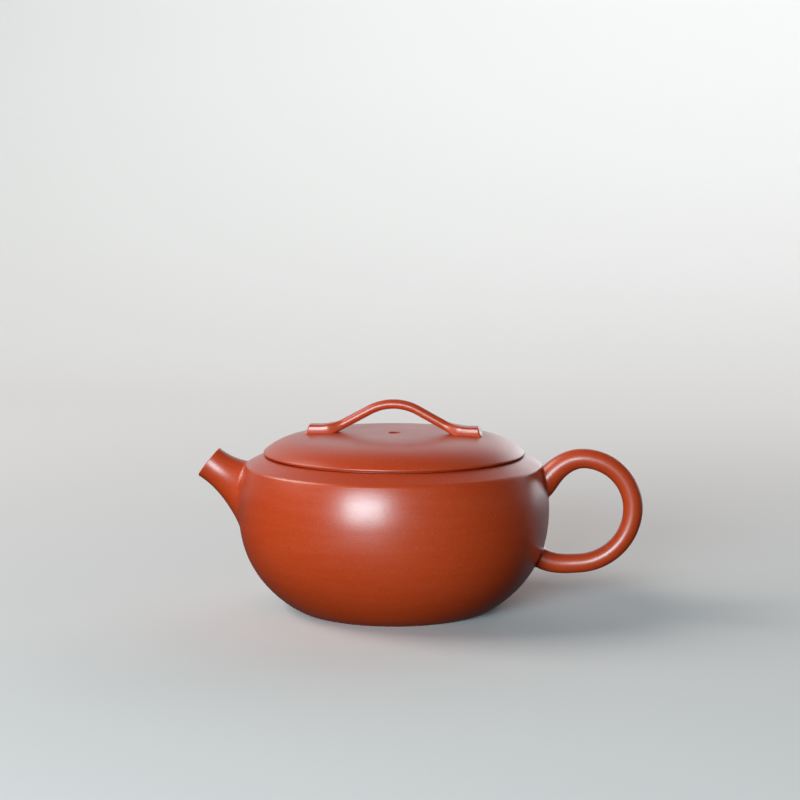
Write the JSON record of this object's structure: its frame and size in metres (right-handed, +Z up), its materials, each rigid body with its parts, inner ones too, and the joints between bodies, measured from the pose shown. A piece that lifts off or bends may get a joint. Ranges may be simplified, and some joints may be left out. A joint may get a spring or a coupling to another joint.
{
  "type": "teapot",
  "caption": "Low round red-clay teapot: short flared spout with ball strainer, round ear handle, domed lift-off lid with a bridge knob and vent hole.",
  "frame": {"origin": "on the pot's vertical axis, in the plane of the ring it stands on", "axes": "+Z up along the pot's axis; +X from the axis towards the ear handle, so the spout points along -X; +Y completes the right-handed set"},
  "size_m": [0.1392, 0.0968, 0.0647],
  "materials": {
    "burnished_clay": "satin, burnished by hand, unglazed",
    "scraped_clay": "matte, tool-scraped, unglazed",
    "raw_clay": "matte, left as formed"
  },
  "bodies": {
    "pot": {"base_disc": "scraped_clay", "body_wall": "burnished_clay", "shoulder_disc": "burnished_clay", "mouth_collar": "scraped_clay", "spout": "burnished_clay", "spout_strainer": "raw_clay", "handle": "burnished_clay"},
    "lid_carrier": {"lid_flange": "scraped_clay"},
    "lid": {"lid_plate": "scraped_clay", "lid_dome": "burnished_clay", "bridge_knob": "burnished_clay"}
  },
  "joints": [
    {"name": "lid_lift", "type": "slide", "parent": "pot", "child": "lid_carrier", "axis": [0, 0, 1], "range_m": [0, 0.045]},
    {"name": "lid_turn", "type": "hinge", "parent": "lid_carrier", "child": "lid", "pos_m": [0, 0, 0.048], "axis": [0, 0, 1], "continuous": true}
  ]
}
